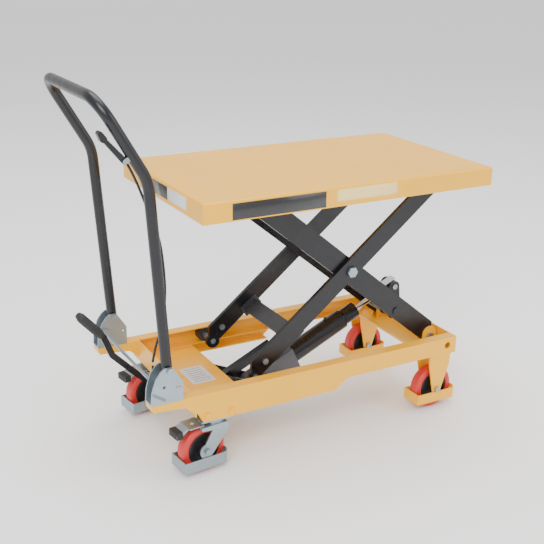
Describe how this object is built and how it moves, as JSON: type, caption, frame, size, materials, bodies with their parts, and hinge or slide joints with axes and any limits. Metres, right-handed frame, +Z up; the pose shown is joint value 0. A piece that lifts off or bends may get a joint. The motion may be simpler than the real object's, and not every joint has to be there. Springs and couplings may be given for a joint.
{
  "type": "scissor lift table",
  "caption": "Manual hydraulic scissor lift table cart with a steel platform, crossed arms, foot pump, push handle and braked casters",
  "frame": {"origin": "floor level under the middle of the overall box", "axes": "+Z up, +X from the push handle to the fixed wheels, +Y to the left side seen by the operator"},
  "size_m": [1.0805, 0.5004, 0.9734],
  "materials": {
    "black": "black semi-gloss paint",
    "castiron": "grey cast body",
    "chrome": "polished chrome",
    "grey": "grey paint",
    "hub": "black moulded plastic",
    "label": "printed film",
    "nylon": "nylon roller",
    "plate": "dark printed film",
    "red": "red polyurethane tread",
    "rubber": "ribbed black rubber",
    "yellow": "satin paint",
    "zinc": "zinc plated"
  },
  "bodies": {
    "chassis": {"rail_right": "yellow", "rail_left": "yellow", "belly_right": "yellow", "belly_left": "yellow", "rear_deck": "yellow", "ear_right": "yellow", "ear_left": "yellow", "front_member": "yellow", "pivot_lugs": "yellow", "pump_cradle": "black", "fork_right": "yellow", "fork_left": "yellow", "bracket_right": "zinc", "bracket_left": "zinc", "caster_plates": "zinc", "front_axles": "zinc", "chassis_bolts": "yellow", "handle_bolts": "zinc", "chassis_pins": "zinc", "deck_label": "label", "cable_lower": "rubber"},
    "front_wheel_right": {"front_tyre_right": "red", "front_hub_right": "hub"},
    "front_wheel_left": {"front_tyre_left": "red", "front_hub_left": "hub"},
    "caster_right": {"caster_yoke_right": "zinc", "caster_axle_right": "zinc"},
    "caster_wheel_right": {"caster_tyre_right": "red", "caster_hub_right": "hub"},
    "brake_right": {"caster_brake_right": "zinc"},
    "caster_left": {"caster_yoke_left": "zinc", "caster_axle_left": "zinc"},
    "caster_wheel_left": {"caster_tyre_left": "red", "caster_hub_left": "hub"},
    "brake_left": {"caster_brake_left": "zinc"},
    "inner_frame": {"inner_arm_right": "black", "inner_arm_left": "black", "inner_tube": "black", "inner_pins": "zinc"},
    "outer_frame": {"outer_arm_right": "black", "outer_arm_left": "black", "outer_tie": "grey", "outer_pins": "zinc"},
    "lower_roller_pair": {"lower_rollers": "nylon"},
    "upper_roller_pair": {"upper_rollers": "nylon"},
    "table": {"platform": "yellow", "table_tracks": "yellow", "nameplates": "plate"},
    "power_unit": {"ram_barrel": "black", "pump_body": "castiron", "pump_arm": "black"},
    "ram_slider": {"ram_rod": "chrome"},
    "pedal": {"pedal_lever": "black", "pedal_pad": "rubber"},
    "handle": {"handle_tube": "black", "lever_clamp": "zinc", "cable_upper": "rubber"},
    "valve_handle": {"release_lever": "black"},
    "bail": {"lock_bail": "zinc"}
  },
  "joints": [
    {"name": "lift", "type": "hinge", "parent": "chassis", "child": "inner_frame", "pos_m": [0.4713, 0, 0.194], "axis": [0, 1, 0], "range_deg": [-31.7, 19]},
    {"name": "cross_pivot", "type": "hinge", "parent": "inner_frame", "child": "outer_frame", "pos_m": [0.1823, 0, 0.441], "axis": [0, 1, 0], "range_deg": [-38, 63.4]},
    {"name": "table_pivot", "type": "hinge", "parent": "outer_frame", "child": "table", "pos_m": [0.4713, 0, 0.688], "axis": [0, 1, 0], "range_deg": [-31.7, 19]},
    {"name": "lower_roll", "type": "hinge", "parent": "outer_frame", "child": "lower_roller_pair", "pos_m": [-0.10669, 0, 0.194], "axis": [0, 1, 0], "continuous": true},
    {"name": "upper_roll", "type": "hinge", "parent": "inner_frame", "child": "upper_roller_pair", "pos_m": [-0.10669, 0, 0.688], "axis": [0, 1, 0], "continuous": true},
    {"name": "ram_tilt", "type": "hinge", "parent": "chassis", "child": "power_unit", "pos_m": [-0.0497, 0, 0.106], "axis": [0, -1, 0], "range_deg": [-0.96, 0.58]},
    {"name": "ram_stroke", "type": "slide", "parent": "power_unit", "child": "ram_slider", "axis": [0.9059, 0, 0.4236], "range_m": [-0.0752, 0.0451]},
    {"name": "pedal_pump", "type": "hinge", "parent": "power_unit", "child": "pedal", "pos_m": [-0.16969, 0, 0.12794], "axis": [0, -1, 0], "range_deg": [0, 20], "stiffness_Nm_per_rad": 40, "springref_deg": -20.05},
    {"name": "handle_fold", "type": "hinge", "parent": "chassis", "child": "handle", "pos_m": [-0.3817, 0, 0.303], "axis": [0, 1, 0], "range_deg": [0, 10]},
    {"name": "release_squeeze", "type": "hinge", "parent": "handle", "child": "valve_handle", "pos_m": [-0.47005, -0.19, 0.82137], "axis": [0, 1, 0], "range_deg": [0, 8], "stiffness_Nm_per_rad": 1, "springref_deg": -17.19},
    {"name": "bail_release", "type": "hinge", "parent": "chassis", "child": "bail", "pos_m": [-0.3972, 0, 0.2623], "axis": [0, -1, 0], "range_deg": [0, 15], "stiffness_Nm_per_rad": 2, "springref_deg": -17.19},
    {"name": "caster_swivel_right", "type": "hinge", "parent": "chassis", "child": "caster_right", "pos_m": [-0.2537, -0.182, 0.13], "axis": [0, 0, 1], "continuous": true},
    {"name": "caster_spin_right", "type": "hinge", "parent": "caster_right", "child": "caster_wheel_right", "pos_m": [-0.29149, -0.18597, 0.0625], "axis": [-0.1045, 0.9945, 0], "continuous": true},
    {"name": "brake_press_right", "type": "hinge", "parent": "caster_right", "child": "brake_right", "pos_m": [-0.30144, -0.18702, 0.126], "axis": [0.1045, -0.9945, 0], "range_deg": [0, 8]},
    {"name": "front_spin_right", "type": "hinge", "parent": "chassis", "child": "front_wheel_right", "pos_m": [0.4483, -0.174, 0.0625], "axis": [0, 1, 0], "continuous": true},
    {"name": "caster_swivel_left", "type": "hinge", "parent": "chassis", "child": "caster_left", "pos_m": [-0.2537, 0.182, 0.13], "axis": [0, 0, 1], "continuous": true},
    {"name": "caster_spin_left", "type": "hinge", "parent": "caster_left", "child": "caster_wheel_left", "pos_m": [-0.29123, 0.17605, 0.0625], "axis": [-0.1564, 0.9877, 0], "continuous": true},
    {"name": "brake_press_left", "type": "hinge", "parent": "caster_left", "child": "brake_left", "pos_m": [-0.30111, 0.17449, 0.126], "axis": [0.1564, -0.9877, 0], "range_deg": [0, 8]},
    {"name": "front_spin_left", "type": "hinge", "parent": "chassis", "child": "front_wheel_left", "pos_m": [0.4483, 0.174, 0.0625], "axis": [0, 1, 0], "continuous": true}
  ],
  "couplings": [
    {"joint": "cross_pivot", "follows": "lift", "ratio": -2},
    {"joint": "table_pivot", "follows": "lift", "ratio": 1},
    {"joint": "ram_tilt", "follows": "lift", "ratio": 0.03},
    {"joint": "ram_stroke", "follows": "lift", "m_per_rad": 0.1358}
  ]
}
